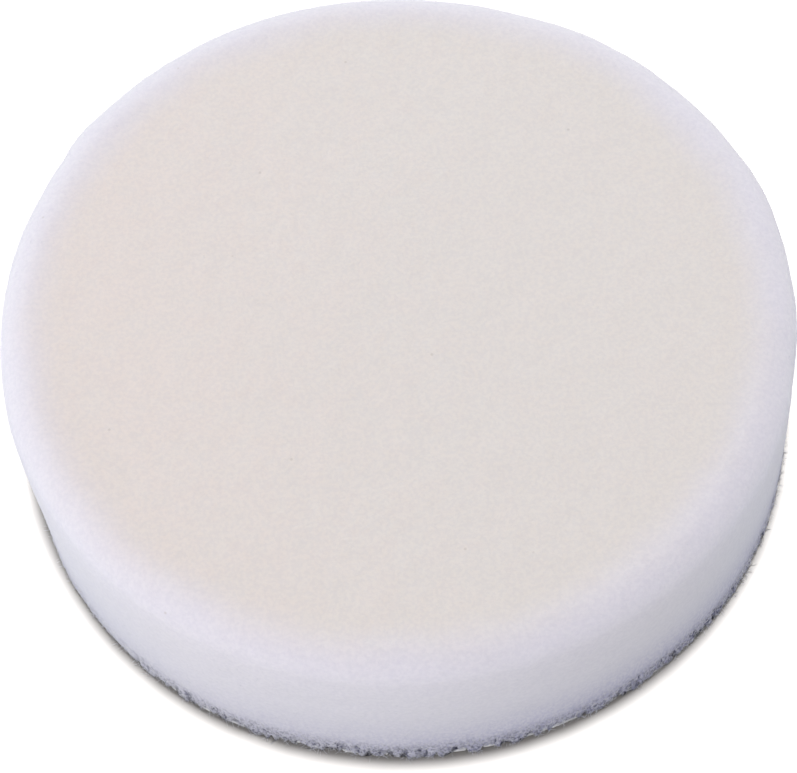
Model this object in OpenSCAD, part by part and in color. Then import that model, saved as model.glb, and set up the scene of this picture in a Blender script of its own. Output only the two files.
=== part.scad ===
// Felt polishing disc with a loop-faced back, for a turning plate faced with hooks.
// Millimetres, +Z up. The origin is the middle of the underside, where the loops meet
// the plate. The working face is on top. Every layer is turned round the Z axis.

/* [Felt disc] */
// Outside diameter of the felt
disc_d = 80; // [50:1:150]
// Thickness of the felt
felt_t = 19.6; // [12:0.1:40]
// Radius of the soft rim round the working face
rim_r = 3.6; // [1:0.1:6]
// Small radius on the felt's lower cut edge
foot_r = 0.5; // [0.2:0.1:1.5]

/* [Backing] */
// Thickness of the melted adhesive film under the felt
film_t = 0.2; // [0.1:0.05:0.6]
// How far the film stops short of the felt's edge
film_inset = 0.6; // [0.5:0.1:2]
// Thickness of the knitted ground cloth
cloth_t = 0.3; // [0.2:0.05:1]
// How far the cloth's cut edge stops short of the felt's edge
cloth_inset = 0.4; // [0:0.05:1]
// Height of the loops below the cloth
pile_t = 0.4; // [0.4:0.1:3]
// How far the outermost loops stop short of the felt's edge
pile_inset = 0.5; // [0.5:0.1:2]
// Rounding of the pile's outer edge, above and below
pile_edge_r = 0.15; // [0.05:0.05:0.15]

/* [Hidden] */

$fn = 180;
disc_r = disc_d / 2;
cloth_z = pile_t;
film_z = cloth_z + cloth_t;
felt_z = film_z + film_t;

// Half section of a disc of radius r and height h, from the axis outwards. Its outer
// corners are rounded to radius `low` at the bottom and `high` at the top.
module half_section(r, h, low, high) {
    square([r - low, h - high]);
    translate([0, low]) square([r - high, h - low]);
    translate([0, low]) square([r, h - low - high]);
    translate([r - low, low]) circle(r = low);
    translate([r - high, h - high]) circle(r = high);
}

// Disc turned from that half section, standing on height z
module turned_disc(z, r, h, low, high) {
    translate([0, 0, z])
        rotate_extrude() half_section(r, h, low, high);
}

// Flat layer with a square-cut edge, lying on height z
module flat_layer(z, r, h) {
    translate([0, 0, z]) cylinder(r = r, h = h);
}

// The block of pressed felt that does the polishing
module felt_disc() {
    color([0.90, 0.87, 0.85])
        turned_disc(felt_z, disc_r, felt_t, foot_r, rim_r);
}

// The film that is melted between the felt and the cloth
module adhesive_film() {
    color([0.78, 0.78, 0.80])
        flat_layer(film_z, disc_r - film_inset, film_t);
}

// The knitted cloth that carries the loops
module backing_cloth() {
    color([0.93, 0.93, 0.96])
        flat_layer(cloth_z, disc_r - cloth_inset, cloth_t);
}

// The raised loops, as the closed envelope that they fill
module loop_pile() {
    color([0.86, 0.86, 0.90])
        turned_disc(0, disc_r - pile_inset, pile_t, pile_edge_r, pile_edge_r);
}

felt_disc();
adhesive_film();
backing_cloth();
loop_pile();
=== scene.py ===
import itertools
import math

import bmesh
import bpy
import numpy as np
from mathutils import Matrix, Vector


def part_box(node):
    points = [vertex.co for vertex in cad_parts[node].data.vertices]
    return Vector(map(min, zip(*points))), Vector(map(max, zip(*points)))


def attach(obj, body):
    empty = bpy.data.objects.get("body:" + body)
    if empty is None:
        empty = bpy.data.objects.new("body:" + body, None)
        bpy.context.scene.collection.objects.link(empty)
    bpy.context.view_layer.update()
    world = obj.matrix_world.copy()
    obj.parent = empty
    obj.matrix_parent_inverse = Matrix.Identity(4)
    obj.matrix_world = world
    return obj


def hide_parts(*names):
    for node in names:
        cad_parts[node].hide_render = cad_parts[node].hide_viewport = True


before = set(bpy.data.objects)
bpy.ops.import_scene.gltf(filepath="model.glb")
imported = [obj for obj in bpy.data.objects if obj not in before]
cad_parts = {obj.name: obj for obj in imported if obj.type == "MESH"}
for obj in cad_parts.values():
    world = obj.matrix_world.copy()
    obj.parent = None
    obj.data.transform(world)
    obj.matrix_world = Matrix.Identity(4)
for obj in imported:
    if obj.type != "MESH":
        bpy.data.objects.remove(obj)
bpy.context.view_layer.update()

MM = 0.001
TAU = 2 * math.pi

# ---------------------------------------------------------------- the frame

felt_low, felt_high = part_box("felt_disc")
film_low, film_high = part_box("adhesive_film")
cloth_low, cloth_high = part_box("backing_cloth")
pile_low, pile_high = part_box("loop_pile")
DISC_R = felt_high.x
FELT_Z = felt_low.z
FELT_TOP = felt_high.z

# ---------------------------------------------------------------- the camera

CAMERA_ELEVATION = math.radians(61.0)
CAMERA_ROLL = math.radians(4.5)
CAMERA_DISTANCE = 7.256 * DISC_R  # from the middle of the disc's underside
LENS = 123.4
SHIFT = (-0.0061, 0.0223)


def make_camera():
    """The camera, which looks at the middle of the underside from high in front."""
    back = Vector((0, -math.cos(CAMERA_ELEVATION), math.sin(CAMERA_ELEVATION)))
    right = Vector((1, 0, 0))
    up = back.cross(right)
    across = math.cos(CAMERA_ROLL) * right - math.sin(CAMERA_ROLL) * up
    upright = math.sin(CAMERA_ROLL) * right + math.cos(CAMERA_ROLL) * up
    turn = Matrix((across, upright, back)).transposed().to_4x4()
    data = bpy.data.cameras.new("camera")
    data.sensor_width = 36
    data.lens = LENS
    data.shift_x, data.shift_y = SHIFT
    data.clip_start, data.clip_end = 0.01, 50
    camera = bpy.data.objects.new("camera", data)
    camera.matrix_world = Matrix.Translation(back * CAMERA_DISTANCE) @ turn
    bpy.context.scene.collection.objects.link(camera)
    bpy.context.scene.camera = camera


make_camera()

# ---------------------------------------------------------------- mesh helpers


def new_piece(name, points, quads, triangles, material, slot, replaces=()):
    """A smooth-shaded mesh object that rides on the disc."""
    quads = np.asarray(quads, np.int32).reshape(-1, 4)
    triangles = np.asarray(triangles, np.int32).reshape(-1, 3)
    corners = np.concatenate([quads.ravel(), triangles.ravel()])
    starts = np.concatenate([
        np.arange(len(quads)) * 4,
        len(quads) * 4 + np.arange(len(triangles)) * 3,
    ])
    mesh = bpy.data.meshes.new(name)
    mesh.vertices.add(len(points))
    mesh.vertices.foreach_set("co", np.asarray(points, np.float32).ravel())
    mesh.loops.add(len(corners))
    mesh.loops.foreach_set("vertex_index", corners.astype(np.int32))
    mesh.polygons.add(len(starts))
    mesh.polygons.foreach_set("loop_start", starts.astype(np.int32))
    mesh.update(calc_edges=True)
    mesh.shade_smooth()
    mesh.materials.append(material)
    piece = bpy.data.objects.new(name, mesh)
    bpy.context.scene.collection.objects.link(piece)
    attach(piece, "root")
    if replaces:
        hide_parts(*replaces)
    return piece


def unit(vectors):
    """The same vectors with a length of one."""
    return vectors / np.linalg.norm(vectors, axis=-1, keepdims=True)


def smooth_noise(points, size, seed):
    """Soft random values from -1 to 1 at each point, that change over about `size` metres."""
    lattice = np.random.default_rng(seed).uniform(-1, 1, (32, 32, 32))
    cell = np.floor(points / size).astype(int)
    t = points / size - cell
    t = t * t * t * (t * (6 * t - 15) + 10)
    total = np.zeros(len(points))
    for corner in itertools.product((0, 1), repeat=3):
        share = np.prod(np.where(corner, t, 1 - t), axis=1)
        x, y, z = ((cell + corner) % 32).T
        total += share * lattice[x, y, z]
    return total


def fade(values, start, end):
    """0 up to start, 1 from end, and a smooth step between."""
    t = np.clip((values - start) / (end - start), 0, 1)
    return t * t * (3 - 2 * t)


def disc_grid(n):
    """An n by n grid of quads bent to fill the unit disc: its points, quads and outer loop."""
    steps = np.linspace(-1, 1, n + 1)
    a, b = (g.ravel() for g in np.meshgrid(steps, steps, indexing="ij"))
    wide = np.abs(a) >= np.abs(b)
    radius = np.where(wide, a, b)
    other = np.where(wide, b, a)
    lean = math.pi / 4 * other / np.where(radius == 0, 1, radius)
    angle = np.where(wide, lean, math.pi / 2 - lean)
    points = np.stack([radius * np.cos(angle), radius * np.sin(angle)], axis=1)
    at = np.arange((n + 1) ** 2).reshape(n + 1, n + 1)
    quads = np.stack([at[:-1, :-1], at[1:, :-1], at[1:, 1:], at[:-1, 1:]], axis=-1)
    loop = np.concatenate([at[-1, :-1], at[::-1, -1][:-1], at[0, ::-1][:-1], at[:-1, 0]])
    return points, quads.reshape(-1, 4), loop


def ring_quads(upper, lower):
    """Quads between two loops of the same length, facing outwards when upper is above."""
    return np.stack([upper, lower, np.roll(lower, -1), np.roll(upper, -1)], axis=1)


def doubled(upper, lower):
    """Quads and triangles between a loop and one below it that has twice the points."""
    after = np.roll(upper, -1)
    even, odd = lower[::2], lower[1::2]
    quads = np.stack([upper, even, odd, after], axis=1)
    return quads, np.stack([after, odd, np.roll(even, -1)], axis=1)


def turned_solid(n, flat_r, top_z, section, fine=()):
    """A closed turned shape: a flat top of radius flat_r, then down the section's rows of
    (radius, z, outward share of the normal, upward share), then in to the axis. The fine rows
    come after the others, with twice the points round."""
    flat, grid, loop = disc_grid(n)
    angle = np.arctan2(flat[loop, 1], flat[loop, 0])
    points = [np.column_stack([flat * flat_r, np.full(len(flat), top_z)])]
    normals = [np.tile([0.0, 0.0, 1.0], (len(flat), 1))]
    count = len(flat)
    quads, triangles = [grid], []
    for k, (radius, z, out, up) in enumerate([*section, *fine]):
        first_fine = bool(len(fine)) and k == len(section)
        if first_fine:
            step = TAU / len(angle)
            angle = np.column_stack([angle, angle + step / 2]).ravel()
        spoke = np.column_stack([np.cos(angle), np.sin(angle), np.zeros(len(angle))])
        points.append(spoke * radius + [0, 0, z])
        normals.append(spoke * out + [0, 0, up])
        ring = count + np.arange(len(angle))
        if first_fine:
            strip, wedges = doubled(loop, ring)
            quads.append(strip)
            triangles.append(wedges)
        else:
            quads.append(ring_quads(loop, ring))
        count += len(angle)
        loop = ring
    points.append([[0, 0, z]])
    normals.append([[0, 0, -1.0]])
    triangles.append(np.stack([loop, np.full(len(loop), count), np.roll(loop, -1)], axis=1))
    return tuple(np.concatenate(part) for part in (points, normals, quads, triangles))


def arc_rows(centre_r, centre_z, radius, start, end, steps):
    """Rows of a turned solid's section round an arc, without its first point."""
    rows = []
    for a in np.radians(np.linspace(start, end, steps + 1)[1:]):
        out, up = math.cos(a), math.sin(a)
        rows.append((centre_r + radius * out, centre_z + radius * up, out, up))
    return rows


def tubes(paths, side, radii, sides=3):
    """Closed tubes along paths (tube, point, xyz), with a radius for each point and an
    across direction for each tube: points, quads and triangles."""
    tubes_n, steps, _ = paths.shape
    along = unit(np.gradient(paths, axis=1))
    side = np.broadcast_to(side[:, None], paths.shape)
    across = unit(side - (side * along).sum(-1, keepdims=True) * along)
    over = np.cross(along, across)
    turn = np.arange(sides) * TAU / sides
    radii = np.broadcast_to(radii, (tubes_n, steps))[..., None, None]
    ring = across[:, :, None] * np.cos(turn)[:, None] + over[:, :, None] * np.sin(turn)[:, None]
    points = (paths[:, :, None] + ring * radii).reshape(-1, 3)
    at = np.arange(tubes_n * steps * sides).reshape(tubes_n, steps, sides)
    near, far = at[:, :-1], at[:, 1:]
    quads = np.stack([near, np.roll(near, -1, 2), np.roll(far, -1, 2), far], axis=-1)
    first, last = at[:, 0, ::-1], at[:, -1]
    caps = [
        np.stack([end[:, 0], end[:, k], end[:, k + 1]], axis=-1)
        for end in (first, last)
        for k in range(1, sides - 1)
    ]
    return points, quads.reshape(-1, 4), np.concatenate(caps)


# ---------------------------------------------------------------- material helpers


def node(tree, kind, inputs=None, **settings):
    """A new shader node with its settings and its inputs, which are values or sockets."""
    made = tree.nodes.new(kind)
    for name, value in settings.items():
        setattr(made, name, value)
    for name, value in (inputs or {}).items():
        if isinstance(value, bpy.types.NodeSocket):
            tree.links.new(value, made.inputs[name])
        else:
            made.inputs[name].default_value = value
    return made


def new_material(name):
    """An empty node material: its tree, its Principled shader and the object's own coordinates."""
    material = bpy.data.materials.new(name)
    material.use_nodes = True
    tree = material.node_tree
    tree.nodes.clear()
    shader = node(tree, "ShaderNodeBsdfPrincipled")
    node(tree, "ShaderNodeOutputMaterial", {"Surface": shader.outputs["BSDF"]})
    place = node(tree, "ShaderNodeTexCoord").outputs["Object"]
    return material, tree, shader, place


def maths(tree, operation, a, b=0.0, clamp=False):
    """The result of one sum on two values or sockets."""
    return node(tree, "ShaderNodeMath", {0: a, 1: b}, operation=operation, use_clamp=clamp).outputs[0]


def noise(tree, place, size, detail=2.0, roughness=0.5, distortion=0.0):
    """Noise from 0 to 1 with features about `size` metres across."""
    made = node(tree, "ShaderNodeTexNoise", {
        "Vector": place, "Scale": 1 / size, "Detail": detail,
        "Roughness": roughness, "Distortion": distortion,
    })
    return made.outputs["Fac"]


def band(tree, value, start, end, low=0.0, high=1.0):
    """A smooth step of value between start and end, from low to high."""
    made = node(tree, "ShaderNodeMapRange", {
        "Value": value, "From Min": start, "From Max": end, "To Min": low, "To Max": high,
    }, interpolation_type="SMOOTHSTEP")
    return made.outputs["Result"]


def mix(tree, share, a, b, blend="MIX"):
    """Two colours mixed by a share."""
    made = node(tree, "ShaderNodeMix", data_type="RGBA", blend_type=blend)
    for key, value in ((0, share), (6, a), (7, b)):
        if isinstance(value, bpy.types.NodeSocket):
            tree.links.new(value, made.inputs[key])
        else:
            made.inputs[key].default_value = value
    return made.outputs[2]


def bump(tree, height, depth, normal=None):
    """A normal that follows a height from 0 to 1, which stands for `depth` metres."""
    inputs = {"Height": height, "Distance": depth, "Strength": 1.0}
    if normal is not None:
        inputs["Normal"] = normal
    return node(tree, "ShaderNodeBump", inputs).outputs["Normal"]


def streaks(tree, place, turn, size, stretch):
    """Noise drawn out into short strokes, like matted fibres that lie one way."""
    turned = node(tree, "ShaderNodeMapping", {
        "Vector": place, "Rotation": turn, "Scale": (1.0, stretch, stretch),
    }).outputs["Vector"]
    return noise(tree, turned, size * stretch, 1.0, 0.5, 0.3)


# ---------------------------------------------------------------- materials

CREAM = (0.803, 0.754, 0.727, 1)
# painted warm light: the colour the face takes on its left, where the light falls warmer
PAINTED_WARM_LIGHT = (0.826, 0.750, 0.719, 1)
COLD_WHITE = (0.800, 0.771, 0.840, 1)
# painted cool light and shade: the bluer white of the lower wall and of the wall's two sides
PAINTED_COOL = (0.760, 0.769, 0.890, 1)
# painted shade in the pores' hollows
PORE_SHADE = (0.42, 0.43, 0.56, 1)
# painted shade: the blue-grey of the wall near the floor
FOOT_SHADE = (0.36, 0.36, 0.60, 1)
# painted shade: the near black of the gaps between the torn tufts, of the torn recesses and of the
# contact line
GAP_SHADE = (0.13, 0.135, 0.22, 1)
SPECK = (0.50, 0.45, 0.42, 1)
# The shares of the radius, to the right, between which the torn foot fades in from the left
RAGGED = (-0.80, -0.62)
TUFT_SQUASH = 0.6  # squashes the noises' heights, so that tufts stand taller than they are wide
# The middle of the cream patch, which isn't quite in the middle of the disc
PATCH = (-0.2 * MM, -0.6 * MM, 0.0)


def radius_from(tree, place, middle):
    """The distance of a place from an upright axis through `middle`."""
    offset = node(tree, "ShaderNodeVectorMath", {0: place, 1: middle}, operation="SUBTRACT")
    offset = offset.outputs["Vector"]
    flat = node(tree, "ShaderNodeVectorMath", {0: offset, 1: (1, 1, 0)}, operation="MULTIPLY")
    flat = flat.outputs["Vector"]
    return node(tree, "ShaderNodeVectorMath", {0: flat}, operation="LENGTH").outputs["Value"]


def make_felt():
    """Pressed white felt: cream on the face, with painted warm light on its left, and a colder
    white round the rim and wall, with painted cool light on the sides and painted blue shade
    lower down. Towards the foot it is torn, with painted shade: greyer near the floor and dark
    between the tufts. With matted fibres, pores darkened by painted shade, and a few dark specks."""
    material, tree, shader, place = new_material("pressed_felt")
    height = node(tree, "ShaderNodeSeparateXYZ", {"Vector": place}).outputs["Z"]
    across = node(tree, "ShaderNodeSeparateXYZ", {"Vector": place}).outputs["X"]

    drift = maths(tree, "MULTIPLY", noise(tree, place, 9 * MM), 2.4 * MM)
    reach = maths(tree, "ADD", radius_from(tree, place, PATCH), drift)
    rim = band(tree, reach, DISC_R - 5.6 * MM, DISC_R + 0.6 * MM)
    wall = band(tree, height, FELT_TOP - 0.8 * MM, FELT_TOP - 3.4 * MM)
    pale = maths(tree, "MAXIMUM", rim, wall)
    # painted warm light: the face turns warmer and a little lighter towards the left
    warm_light_share = band(tree, maths(tree, "ADD", across, drift), 15 * MM, -DISC_R)
    mottle = band(tree, noise(tree, place, 2.4 * MM, 2.0), 0.35, 0.65, -0.15, 0.15)
    colour = mix(tree, maths(tree, "ADD", warm_light_share, mottle, clamp=True), CREAM, PAINTED_WARM_LIGHT)
    # painted blue shade: the wall turns bluer towards the foot
    fall = node(tree, "ShaderNodeMapRange", {
        "Value": height, "From Min": FELT_TOP, "From Max": FELT_Z, "To Max": 0.5,
    }).outputs["Result"]
    # painted cool light: the wall is bluer at its left and right sides
    cool_light_sides = band(tree, maths(tree, "ABSOLUTE", across), 22 * MM, 36 * MM, 0.0, 0.45)
    painted_cool_share = maths(tree, "ADD", fall, maths(tree, "MULTIPLY", wall, cool_light_sides))
    colour = mix(tree, pale, colour, mix(tree, painted_cool_share, COLD_WHITE, PAINTED_COOL))

    grain = noise(tree, place, 0.42 * MM, 2.0, 0.62)
    # painted shade: the fine grain darkens where its pores lie low
    colour = mix(tree, band(tree, grain, 0.68, 0.32, 0.0, 0.11), colour, PORE_SHADE)
    cells = node(tree, "ShaderNodeTexVoronoi", {"Vector": place, "Scale": 1 / (1.6 * MM)})
    rare = node(tree, "ShaderNodeSeparateXYZ", {"Vector": cells.outputs["Color"]}).outputs["X"]
    near = band(tree, cells.outputs["Distance"], 0.13, 0.05)
    speck = maths(tree, "MULTIPLY", near, maths(tree, "GREATER_THAN", rare, 0.975))
    colour = mix(tree, maths(tree, "MULTIPLY", speck, 0.35), colour, SPECK)

    # towards the foot: greyer and bluer, with upright strokes, as painted shade near the floor; then
    # painted shade between the torn tufts
    upright = node(tree, "ShaderNodeMapping", {"Vector": place, "Scale": (1.0, 1.0, TUFT_SQUASH)})
    upright = upright.outputs["Vector"]
    strokes = noise(tree, upright, 0.32 * MM, 2.0, 0.6)
    ramp = node(tree, "ShaderNodeMapRange", {
        "Value": height, "From Min": FELT_Z + 11 * MM, "From Max": FELT_Z,
    }).outputs["Result"]
    # painted shade: stronger on the right, which lies away from the light, and weaker on the left
    shade_by_side = band(tree, across, -34 * MM, 20 * MM, 0.35, 1.22)
    low = maths(tree, "MULTIPLY", maths(tree, "POWER", ramp, 1.8), shade_by_side)
    grey = maths(tree, "MULTIPLY", low, band(tree, strokes, 0.66, 0.34, 0.3, 0.75))
    # painted shade near the floor, broken up by upright strokes
    colour = mix(tree, grey, colour, FOOT_SHADE)
    tufts = noise(tree, upright, 0.3 * MM, 3.0, 0.7)
    hem = band(tree, height, FELT_Z + 3.7 * MM, FELT_Z - 0.4 * MM)
    gaps = maths(tree, "MULTIPLY", hem, band(tree, tufts, 0.55, 0.38))
    torn = band(tree, across, RAGGED[0] * DISC_R, RAGGED[1] * DISC_R)
    gaps = maths(tree, "MULTIPLY", gaps, torn)
    # painted shade in the torn recesses, following the felt's recess attribute
    recess = node(tree, "ShaderNodeAttribute", attribute_name="recess").outputs["Fac"]
    # painted shade: a thin dark line along the bottom edge where the cut is clean, as a contact shadow
    cut = band(tree, height, FELT_Z + 0.1 * MM, FELT_Z - 0.4 * MM, 0.0, 0.75)
    contact_shade = maths(tree, "MULTIPLY", cut, maths(tree, "SUBTRACT", 1.0, torn))
    dark = maths(tree, "ADD", maths(tree, "MULTIPLY", gaps, 0.92), maths(tree, "MULTIPLY", recess, 0.5))
    dark = maths(tree, "ADD", dark, contact_shade, clamp=True)
    # painted shade between the tufts, in the recesses and along the bottom edge
    colour = mix(tree, dark, colour, GAP_SHADE)

    fibre = maths(tree, "MAXIMUM",
                  streaks(tree, place, (0.2, 0.1, 0.5), 0.12 * MM, 6.0),
                  streaks(tree, place, (1.3, 0.9, 2.1), 0.12 * MM, 6.0))
    fibre = maths(tree, "MAXIMUM", fibre, streaks(tree, place, (2.2, 1.9, 0.9), 0.12 * MM, 6.0))
    normal = bump(tree, noise(tree, place, 1.1 * MM, 2.0), 0.05 * MM)
    normal = bump(tree, fibre, 0.025 * MM, normal)
    normal = bump(tree, grain, 0.03 * MM, normal)
    normal = bump(tree, maths(tree, "SUBTRACT", 1.0, gaps), 0.12 * MM, normal)
    tree.links.new(colour, shader.inputs["Base Color"])
    tree.links.new(normal, shader.inputs["Normal"])
    tree.links.new(band(tree, grain, 0.3, 0.7, 1.0, 0.86), shader.inputs["Roughness"])
    shader.inputs["Subsurface Weight"].default_value = 1.0
    shader.inputs["Subsurface Scale"].default_value = 1.5 * MM
    shader.inputs["Subsurface Radius"].default_value = (1.0, 1.0, 1.0)
    shader.inputs["Specular IOR Level"].default_value = 0.25
    shader.inputs["Sheen Weight"].default_value = 0.1
    shader.inputs["Sheen Roughness"].default_value = 0.45
    shader.inputs["Sheen Tint"].default_value = (0.93, 0.94, 1.0, 1)
    return material


def make_fibre(name, dark, light, size):
    """Loose fibres or yarn, a little lighter and darker from one to the next."""
    material, tree, shader, place = new_material(name)
    shade = band(tree, noise(tree, place, size, 1.0), 0.35, 0.65)
    tree.links.new(mix(tree, shade, dark, light), shader.inputs["Base Color"])
    rough = band(tree, noise(tree, place, size / 4), 0.3, 0.7, 0.6, 0.9)
    tree.links.new(rough, shader.inputs["Roughness"])
    normal = bump(tree, noise(tree, place, 0.05 * MM), 0.01 * MM)
    tree.links.new(normal, shader.inputs["Normal"])
    shader.inputs["Sheen Weight"].default_value = 0.3
    shader.inputs["Sheen Roughness"].default_value = 0.4
    return material


def make_cloth():
    """White warp-knitted cloth: upright wales of small stitches, darker in their hollows as painted
    shade.
    """
    material, tree, shader, place = new_material("knitted_cloth")
    apart = node(tree, "ShaderNodeSeparateXYZ", {"Vector": place})
    wale = maths(tree, "SINE", maths(tree, "MULTIPLY", apart.outputs["X"], TAU / WALE))
    course = maths(tree, "SINE", maths(tree, "MULTIPLY", apart.outputs["Y"], TAU / COURSE))
    stitch = maths(tree, "MULTIPLY", maths(tree, "ADD", wale, course), 0.5)
    shade = band(tree, maths(tree, "ADD", stitch, noise(tree, place, 0.3 * MM)), 0.0, 1.2)
    # painted shade: the stitches' low places darker
    colour = mix(tree, shade, (0.76, 0.76, 0.80, 1), (0.92, 0.92, 0.94, 1))
    tree.links.new(colour, shader.inputs["Base Color"])
    normal = bump(tree, shade, 0.06 * MM)
    normal = bump(tree, noise(tree, place, 0.08 * MM), 0.02 * MM, normal)
    tree.links.new(normal, shader.inputs["Normal"])
    tree.links.new(band(tree, shade, 0.0, 1.0, 0.95, 0.75), shader.inputs["Roughness"])
    shader.inputs["Sheen Weight"].default_value = 0.2
    return material


def make_film():
    """Melted adhesive: greyish, half glossy, with small bubbles."""
    material, tree, shader, place = new_material("adhesive_film")
    bubble = band(tree, noise(tree, place, 0.5 * MM, 2.0), 0.4, 0.6)
    colour = mix(tree, bubble, (0.50, 0.50, 0.54, 1), (0.66, 0.66, 0.70, 1))
    tree.links.new(colour, shader.inputs["Base Color"])
    tree.links.new(band(tree, bubble, 0.0, 1.0, 0.35, 0.6), shader.inputs["Roughness"])
    tree.links.new(bump(tree, bubble, 0.03 * MM), shader.inputs["Normal"])
    return material


WALE = 1.1 * MM  # spacing of the cloth's upright ribs
COURSE = 0.8 * MM  # spacing of its rows of stitches
FELT = make_felt()
FELT_FIBRE = make_fibre("felt_fibre", (0.66, 0.66, 0.75, 1), (0.83, 0.83, 0.89, 1), 0.8 * MM)
LOOP_YARN = make_fibre("loop_yarn", (0.60, 0.61, 0.68, 1), (0.82, 0.82, 0.88, 1), 1.2 * MM)
CLOTH = make_cloth()
FILM = make_film()

# ---------------------------------------------------------------- the felt

RIM_R = 3.6 * MM
LEAN = 6  # degrees that the wall leans in where it meets the rim
CROWN_R = 30 * MM  # radius of the wall's slow curve below the rim
WALL_R = DISC_R + 0.12 * MM
FOOT_R = 0.5 * MM
FELT_GRID = 160
FINE_Z = FELT_Z + 4.2 * MM  # below this the wall has twice the points
HANG = 1.25 * MM  # how far the longest tufts hang down over the backing
FLARE = 0.12 * MM  # how far out those tufts splay
# How far the cut outline strays from a true circle: (lobes, size, turn of the first lobe)
LOBES = ((2, 0.25 * MM, -58), (3, 0.11 * MM, 71), (4, 0.08 * MM, 163))
# Where the knife wandered: (azimuth, spread in degrees, how far out)
RIM_WANDER = ((-175, 10, 0.10 * MM), (-166, 7, 0.26 * MM), (-13, 5, -0.28 * MM), (2.5, 3, -0.08 * MM),
              (16, 7, 0.36 * MM), (21, 3, 0.10 * MM), (30, 6, 0.19 * MM), (44, 4, 0.12 * MM),
              (53, 7, 0.18 * MM), (66, 6, -0.12 * MM), (107, 24, 0.10 * MM), (141, 3.5, 0.28 * MM),
              (146.5, 2, -0.09 * MM), (154, 5, -0.24 * MM))
FOOT_WANDER = ((-164, 8, -0.52 * MM), (-148, 12, -0.20 * MM), (-120, 8, 0.18 * MM),
               (-90, 45, 0.10 * MM), (-38, 12, 0.27 * MM))
# Where the cloth's edge shows most often: (azimuth, spread in degrees, share)
PEEPS = ((-116, 24, 0.32), (-92, 3, 0.30), (-82, 4, 0.22), (-72.5, 3.5, 0.15), (-65, 4, -0.25),
         (60, 25, 0.10))


def outline(angle):
    """How far the felt's side stands out past the true circle at an angle."""
    return sum(size * np.cos(k * angle - math.radians(turn)) for k, size, turn in LOBES)


def bumps(angle, places):
    """The sum at an angle of soft bumps round the circle: (azimuth, spread in degrees, size)."""
    total = np.zeros(len(angle))
    for azimuth, spread, size in places:
        away = (np.degrees(angle) - azimuth + 180) % 360 - 180
        total += size * np.exp(-((away / spread) ** 2))
    return total


def rim_spots(angle):
    """Points on a circle of the disc's radius, which the edge noises are looked up at."""
    return np.column_stack([np.cos(angle), np.sin(angle), np.zeros(len(angle))]) * DISC_R


def ragged(points):
    """How torn the foot is at each point: 0 at the far left, where the cut is clean, up to 1."""
    return fade(points[:, 0] / DISC_R, *RAGGED)


def peep(angle):
    """Where the cloth's edge shows past the felt, from 0 to 1."""
    spot = rim_spots(angle)
    return ragged(spot) * fade(smooth_noise(spot, 1.1 * MM, 23) + bumps(angle, PEEPS), 0.35, 0.6)


def hang(angle):
    """How far the torn tufts hang down over the cloth's edge, from 0 to 1. Here and there a
    tuft crosses the part of the edge that shows."""
    spot = rim_spots(angle)
    uneven = 0.3 * smooth_noise(spot, 1.1 * MM, 25) + 0.4 * smooth_noise(spot, 0.4 * MM, 26)
    tufts = 0.5 + ragged(spot) * (0.24 + uneven)
    bare = peep(angle) * fade(smooth_noise(spot, 0.5 * MM, 28), -0.35, 0.05)
    return np.clip(tufts, 0, 1) * (1 - 0.85 * bare)


def relief(points):
    """How far the felt's matted surface stands out of its plain shape."""
    rise = 0.06 * MM * smooth_noise(points, 13 * MM, 1)
    rise += 0.04 * MM * smooth_noise(points, 3.5 * MM, 2)
    rise += 0.03 * MM * smooth_noise(points, 1.3 * MM, 3)
    return rise + 0.02 * MM * smooth_noise(points, 0.6 * MM, 4)


def torn_depth(points):
    """How deep the gaps between the torn tufts go at each point, from 0 to 1."""
    upright = points * [1, 1, TUFT_SQUASH]
    torn = 0.5 * smooth_noise(upright, 1.3 * MM, 5) + 0.7 * smooth_noise(upright, 0.6 * MM, 6)
    torn += 0.9 * smooth_noise(upright, 0.36 * MM, 7)
    low = fade(points[:, 2], FELT_Z + 3.0 * MM, FELT_Z + 0.1 * MM) * ragged(points)
    return fade(torn, 0.85 - 0.85 * low, 1.55 - 0.75 * low) * np.minimum(1, 1.5 * low)


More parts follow.
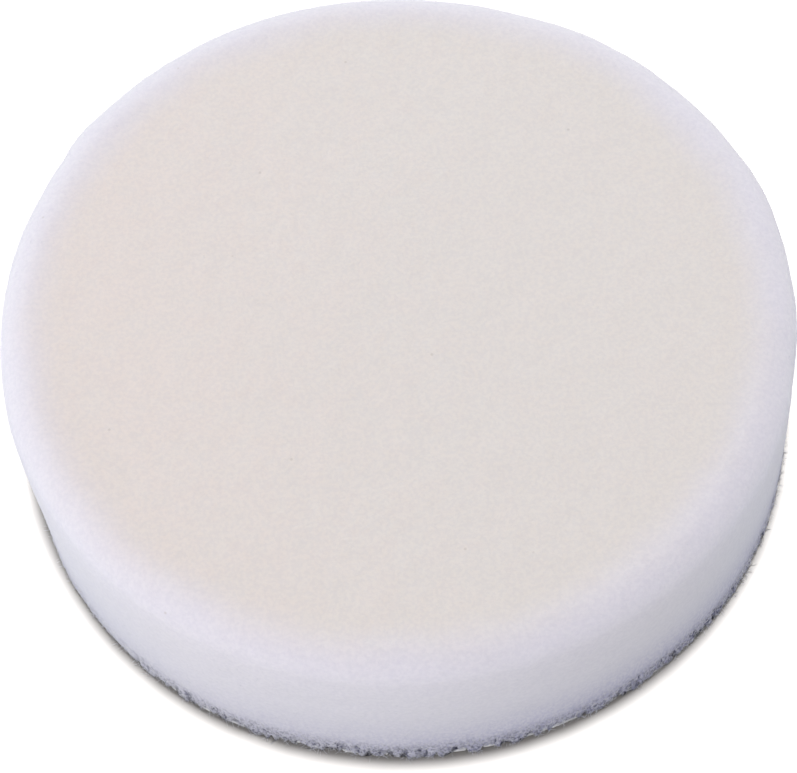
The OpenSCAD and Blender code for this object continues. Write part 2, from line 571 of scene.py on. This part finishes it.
def make_felt_body():
    """The block of felt, with its matted surface and torn lower edge. Returns its points
    and outward normals too, which the loose fibres grow from."""
    flat_r = DISC_R - RIM_R
    lean = math.radians(LEAN)
    corner_r = (WALL_R - CROWN_R * (1 - math.cos(lean)) - flat_r) / math.cos(lean)
    plumb_z = FELT_TOP - corner_r - (CROWN_R - corner_r) * math.sin(lean)
    section = arc_rows(flat_r, FELT_TOP - corner_r, corner_r, 90, LEAN, 16)
    section += arc_rows(WALL_R - CROWN_R, plumb_z, CROWN_R, LEAN, 0, 7)
    section += [(WALL_R, z, 1, 0) for z in np.linspace(plumb_z, FINE_Z, 22)[1:]]
    fine = [(WALL_R, z, 1, 0) for z in np.linspace(FINE_Z, FELT_Z + FOOT_R, 20)[1:]]
    fine += arc_rows(WALL_R - FOOT_R, FELT_Z + FOOT_R, FOOT_R, 0, -90, 4)
    fine += [(WALL_R * share, FELT_Z, 0, -1) for share in (0.9, 0.6)]
    points, normals, quads, triangles = turned_solid(FELT_GRID, flat_r, FELT_TOP, section, fine)
    angle = np.arctan2(points[:, 1], points[:, 0])
    radius = np.hypot(points[:, 0], points[:, 1])
    up = np.clip((points[:, 2] - FELT_Z) / (FELT_TOP - FELT_Z), 0, 1)
    stray = up * bumps(angle, RIM_WANDER) + (1 - up) * bumps(angle, FOOT_WANDER)
    spread = 1 + (outline(angle) + stray) / DISC_R
    points = points * np.column_stack([spread, spread, np.ones(len(points))])
    under = normals[:, 2] < -0.5
    recess = torn_depth(points) * fade(radius, WALL_R - 1.2 * MM, WALL_R - 0.4 * MM)
    rise = relief(points) - 0.26 * MM * recess
    points += normals * np.where(under, 0, rise)[:, None]
    points[:, 2] += np.where(points[:, 2] < FELT_Z + FOOT_R, 0.3 * MM * recess, 0)
    lip = fade(points[:, 2], FELT_Z + 1.2 * MM, FELT_Z + 0.2 * MM)
    lip *= fade(radius, WALL_R - 0.42 * MM, WALL_R - 0.15 * MM) * hang(angle)
    points[:, 2] = np.maximum(points[:, 2] - HANG * lip, 0.05 * MM)
    points[:, :2] *= 1 + (FLARE / DISC_R * lip)[:, None]
    felt = new_piece("felt_body", points, quads, triangles, FELT, "felt", ["felt_disc"])
    values = felt.data.attributes.new("recess", "FLOAT", "POINT").data
    values.foreach_set("value", recess.astype(np.float32))
    return points, normals


def make_fuzz(name, points, normals, weight, count, length, thick, lie, seed):
    """Loose fibre ends, matted against the felt, which start at its points by weight. They lie
    in any direction at a `lie` of 0 and hang straight down at 1."""
    rng = np.random.default_rng(seed)
    root = rng.choice(len(points), count, p=weight / weight.sum())
    out = unit(normals[root])
    drift = unit(np.cross(out, unit(rng.normal(size=(count, 3)))))
    drift = unit(drift * (1 - lie) + np.array([0, 0, -lie]))
    sideways = np.cross(out, drift)
    long = rng.uniform(*length, (count, 1))
    rise = rng.uniform(0.05, 0.4, (count, 1))
    curl = rng.uniform(-0.6, 0.6, (count, 1))
    start = points[root] - 0.04 * MM * out + drift * rng.uniform(-0.2, 0.2, (count, 1)) * MM
    steps = []
    for t in np.linspace(0, 1, 4):
        lift = rise * (1.6 * t - 0.9 * t * t)
        steps.append(start + long * (drift * t + sideways * curl * t * t + out * lift))
    radii = np.array([1.0, 1.0, 0.8, 0.35]) * rng.uniform(*thick, (count, 1))
    points, quads, caps = tubes(np.stack(steps, 1), out, radii)
    points[:, 2] = np.maximum(points[:, 2], 0.02 * MM)
    new_piece(name, points, quads, caps, FELT_FIBRE, "felt")


felt_points, felt_normals = make_felt_body()
height = felt_points[:, 2]
side = (felt_normals[:, 2] > -0.8) & (np.hypot(felt_points[:, 0], felt_points[:, 1]) > DISC_R - 4 * MM)
foot_weight = side * fade(height, FELT_Z + 2.8 * MM, FELT_Z + 0.1 * MM)
wall_weight = side * (height > FINE_Z) * 1.0
make_fuzz("felt_fuzz_foot", felt_points, felt_normals, foot_weight, 9000,
          (0.2 * MM, 0.65 * MM), (0.014 * MM, 0.030 * MM), 0.45, 11)
make_fuzz("felt_fuzz_wall", felt_points, felt_normals, wall_weight, 2500,
          (0.15 * MM, 0.4 * MM), (0.010 * MM, 0.018 * MM), 0.0, 12)

# ---------------------------------------------------------------- the backing


def cloth_edge(angle):
    """The radius of the cloth's cut edge, which mostly hides behind the felt's tufts and peeps
    out here and there."""
    spot = rim_spots(angle)
    stray = 0.08 * MM * smooth_noise(spot, 6 * MM, 21) + 0.05 * MM * smooth_noise(spot, 1.4 * MM, 22)
    stray += 0.37 * MM * peep(angle) - 0.12 * MM
    return cloth_high.x + WALL_R - DISC_R + outline(angle) + bumps(angle, FOOT_WANDER) + stray


def make_layer(name, grid, low_z, high_z, edge, waves, material, slot, node_name):
    """A thin disc with a strayed cut edge, whose fine side is the underside."""
    thick = high_z - low_z
    section = [(1, low_z + thick * s, 1, 0) for s in (0.85, 0.5, 0.15)]
    section += [(0.97, low_z, 0, -1), (0.5, low_z, 0, -1)]
    points, normals, quads, fan = turned_solid(grid, 0.998, high_z, section)
    reach = edge(np.arctan2(points[:, 1], points[:, 0]))
    points[:, :2] *= reach[:, None]
    points[:, 2] += waves(points, normals[:, 2] > 0.5)
    points[:, 2] = low_z + high_z - points[:, 2]
    return new_piece(name, points, quads[:, ::-1], fan[:, ::-1], material, slot, [node_name])


def stitches(points, face):
    """The rise and fall of the knitted stitches across the cloth's face, and the waves of its
    cut edge."""
    wale = np.cos(points[:, 0] * TAU / WALE)
    course = np.cos(points[:, 1] * TAU / COURSE + 1.5 * np.sign(wale))
    edge = fade(np.hypot(points[:, 0], points[:, 1]), DISC_R - 1.2 * MM, DISC_R - 0.5 * MM)
    waves = 0.07 * MM * smooth_noise(points * [1, 1, 0], 0.9 * MM, 27)
    return face * (-0.03 * MM * (1 - wale) - 0.02 * MM * (1 - course)) + edge * waves


def film_edge(angle):
    """The radius of the adhesive's squeezed edge."""
    return film_high.x + outline(angle) + 0.3 * MM * smooth_noise(rim_spots(angle), 2.2 * MM, 24)


def make_loops(name, centres, seed):
    """Loops that hang from the cloth, each leaning its own way."""
    rng = np.random.default_rng(seed)
    count = len(centres)
    turn = rng.uniform(0, TAU, count)
    across = np.column_stack([np.cos(turn), np.sin(turn), np.zeros(count)])
    ahead = np.column_stack([-np.sin(turn), np.cos(turn), np.zeros(count)])
    half = rng.uniform(0.14, 0.28, (count, 1)) * MM
    drop = (pile_high.z - pile_low.z) * rng.uniform(0.7, 0.9, (count, 1))
    lean = rng.uniform(-0.4, 0.4, (count, 1)) * MM
    twist = rng.uniform(-0.14, 0.14, (count, 1)) * MM
    top = np.column_stack([centres, np.full(count, pile_high.z + 0.08 * MM)])
    steps = []
    for t in np.linspace(0, 1, 9):
        swing = -math.cos(math.pi * t) * (0.55 + 0.75 * math.sin(math.pi * t))
        hang = math.sin(math.pi * t) ** 0.75
        step = top + across * half * swing + ahead * (lean * hang * 0.6 + twist * math.sin(TAU * t))
        step[:, 2:] -= (drop + 0.08 * MM) * hang
        steps.append(step)
    radius = rng.uniform(0.022, 0.034, (count, 1)) * MM * np.ones(9)
    return new_piece(name, *tubes(np.stack(steps, 1), ahead, radius), LOOP_YARN, "loop_pile")


def loop_places(spacing, seed):
    """Places for the loops: rows across the cloth, each a little off its place."""
    rng = np.random.default_rng(seed)
    steps = np.arange(-DISC_R, DISC_R, spacing)
    x, y = (g.ravel() for g in np.meshgrid(steps, steps))
    places = np.column_stack([x, y]) + rng.uniform(-0.4, 0.4, (len(x), 2)) * spacing
    angle = np.arctan2(places[:, 1], places[:, 0])
    edge = pile_high.x + outline(angle) + bumps(angle, FOOT_WANDER) - 0.05 * MM
    return places[np.hypot(places[:, 0], places[:, 1]) < edge]


def make_yarn_ends():
    """Cut ends of the cloth's yarn, which stick out round its edge."""
    rng = np.random.default_rng(31)
    count = 900
    angle = rng.uniform(0, TAU, count)
    spoke = np.column_stack([np.cos(angle), np.sin(angle), np.zeros(count)])
    along = np.column_stack([-np.sin(angle), np.cos(angle), np.zeros(count)])
    z = rng.uniform(cloth_low.z + 0.05 * MM, cloth_high.z - 0.03 * MM, count)
    start = spoke * (cloth_edge(angle) - 0.25 * MM)[:, None] + z[:, None] * np.array([0, 0, 1])
    long = rng.gamma(2.0, 0.05, (count, 1)).clip(0.02, 0.25) * MM + 0.25 * MM
    veer = rng.uniform(-0.8, 0.8, (count, 1))
    fall = rng.uniform(-0.5, 0.25, (count, 1))
    steps = []
    for t in np.linspace(0, 1, 4):
        steps.append(start + long * (spoke * t + along * veer * t * t + [0, 0, 1] * fall * t * t))
    radii = np.array([1.0, 1.0, 0.9, 0.4]) * rng.uniform(0.012, 0.022, (count, 1)) * MM
    points, quads, caps = tubes(np.stack(steps, 1), along, radii)
    points[:, 2] = np.maximum(points[:, 2], 0.02 * MM)
    return new_piece("cut_yarn_ends", points, quads, caps, LOOP_YARN, "backing_cloth")


make_layer("adhesive_layer", 60, film_low.z, film_high.z, film_edge,
           lambda points, face: np.zeros(len(points)), FILM, "adhesive", "adhesive_film")
cloth = make_layer("knitted_backing", 200, cloth_low.z, cloth_high.z, cloth_edge,
                   stitches, CLOTH, "backing_cloth", "backing_cloth")
places = loop_places(0.64 * MM, 41)
quarter = (places[:, 0] > 0) * 2 + (places[:, 1] > 0)
loops = [make_loops(f"loop_pile_{k + 1}", places[quarter == k], 50 + k) for k in range(4)]
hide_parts("loop_pile")
ends = make_yarn_ends()

# ---------------------------------------------------------------- the studio

FAR = 3.0  # how far the floor reaches from the disc
WORLD_LIGHT = 0.83
FLOOR_LAMP = 9.8  # lights only the floor, so its tilt and spread set the disc's shadow
FLOOR_LAMP_TILT = (math.radians(-3.85), math.radians(-0.15), 0)
FLOOR_LAMP_SPREAD = math.radians(6.8)


def make_lamp(name, kind, energy, colour):
    """A lamp of one kind, linked to the scene."""
    data = bpy.data.lights.new(name, kind)
    data.energy = energy
    data.color = colour
    lamp = bpy.data.objects.new(name, data)
    bpy.context.scene.collection.objects.link(lamp)
    return lamp


def make_softbox(name, azimuth, elevation, power, colour):
    """A square softbox that faces the disc from an azimuth and elevation in degrees."""
    distance, size = 0.5, 0.35
    turn, elevation = math.radians(azimuth), math.radians(elevation)
    flat = Vector((math.cos(turn), math.sin(turn), 0)) * math.cos(elevation)
    lamp = make_lamp(name, "AREA", power, colour)
    lamp.data.shape = "SQUARE"
    lamp.data.size = size
    lamp.location = distance * (flat + Vector((0, 0, math.sin(elevation))))
    lamp.rotation_euler = (-lamp.location).to_track_quat("-Z", "Y").to_euler()


def make_world():
    """Plain pale light from all round."""
    world = bpy.data.worlds.new("studio")
    world.use_nodes = True
    shade = world.node_tree.nodes["Background"]
    shade.inputs["Color"].default_value = (0.99, 0.995, 1.0, 1)
    shade.inputs["Strength"].default_value = WORLD_LIGHT
    bpy.context.scene.world = world


def stage_object(name, mesh, material):
    """An object of the set, which isn't part of the disc."""
    mesh.materials.append(material)
    made = bpy.data.objects.new(name, mesh)
    bpy.context.scene.collection.objects.link(made)
    return made


def flat_square(name, z):
    """A square mesh that reaches FAR each way at height z."""
    mesh = bpy.data.meshes.new(name)
    corners = [(-FAR, -FAR, z), (FAR, -FAR, z), (FAR, FAR, z), (-FAR, FAR, z)]
    mesh.from_pydata(corners, [], [(0, 1, 2, 3)])
    return mesh


def paper(name, dark, light):
    """Matt paper, with a faint mottle from one shade to the other."""
    material, tree, shader, place = new_material(name)
    shade = band(tree, noise(tree, place, 0.4), 0.3, 0.7)
    tree.links.new(mix(tree, shade, dark, light), shader.inputs["Base Color"])
    shader.inputs["Roughness"].default_value = 1.0
    shader.inputs["Specular IOR Level"].default_value = 0.0
    return material


def shadow_ringed_paper():
    """Grey paper with a dark ring round the disc, a painted shadow, so that little light comes back on
    its foot.
    """
    material, tree, shader, place = new_material("shadow_ringed_paper")
    clear = band(tree, radius_from(tree, place, (0, 0, 0)), DISC_R + 1 * MM, DISC_R + 17 * MM)
    colour = mix(tree, clear, (0.09, 0.09, 0.09, 1), (0.52, 0.52, 0.52, 1))
    tree.links.new(colour, shader.inputs["Base Color"])
    shader.inputs["Roughness"].default_value = 1.0
    shader.inputs["Specular IOR Level"].default_value = 0.0
    return material


def make_floor():
    """The white floor that shows, with its own lamp from overhead, and the grey one just under
    it that throws light back on the disc."""
    bounce = stage_object("bounce_floor", flat_square("bounce_floor", -0.5 * MM), shadow_ringed_paper())
    bounce.visible_camera = False
    floor = stage_object("floor", flat_square("floor", 0),
                         paper("white_paper", (0.350, 0.331, 0.320, 1), (0.360, 0.341, 0.330, 1)))
    floor.visible_diffuse = False
    floor.visible_glossy = False
    floor.visible_shadow = False
    lamp = make_lamp("floor_lamp", "SUN", FLOOR_LAMP, (0.955, 0.985, 1.0))
    lamp.data.angle = FLOOR_LAMP_SPREAD
    lamp.rotation_euler = FLOOR_LAMP_TILT
    lit = bpy.data.collections.new("lit_by_the_floor_lamp")
    lit.objects.link(floor)
    lamp.light_linking.receiver_collection = lit


def make_backdrop():
    """A white dome round the set, which only the camera sees."""
    material = bpy.data.materials.new("white_backdrop")
    material.use_nodes = True
    tree = material.node_tree
    tree.nodes.clear()
    glow = node(tree, "ShaderNodeEmission", {"Color": (1, 1, 1, 1), "Strength": 1.1})
    node(tree, "ShaderNodeOutputMaterial", {"Surface": glow.outputs[0]})
    shape = bmesh.new()
    bmesh.ops.create_uvsphere(shape, u_segments=64, v_segments=32, radius=FAR * 0.99)
    mesh = bpy.data.meshes.new("backdrop")
    shape.to_mesh(mesh)
    shape.free()
    dome = stage_object("backdrop", mesh, material)
    dome.visible_diffuse = False
    dome.visible_glossy = False
    dome.visible_shadow = False


make_world()
make_softbox("front_left_softbox", -143, 6.5, 0.98, (0.985, 0.97, 0.965))
make_softbox("back_left_softbox", 135, 25, 0.42, (0.86, 0.95, 1.0))
make_softbox("back_right_softbox", 54, 25, 0.36, (1.0, 0.98, 0.97))
make_floor()
make_backdrop()
bpy.context.scene.view_settings.view_transform = "Standard"
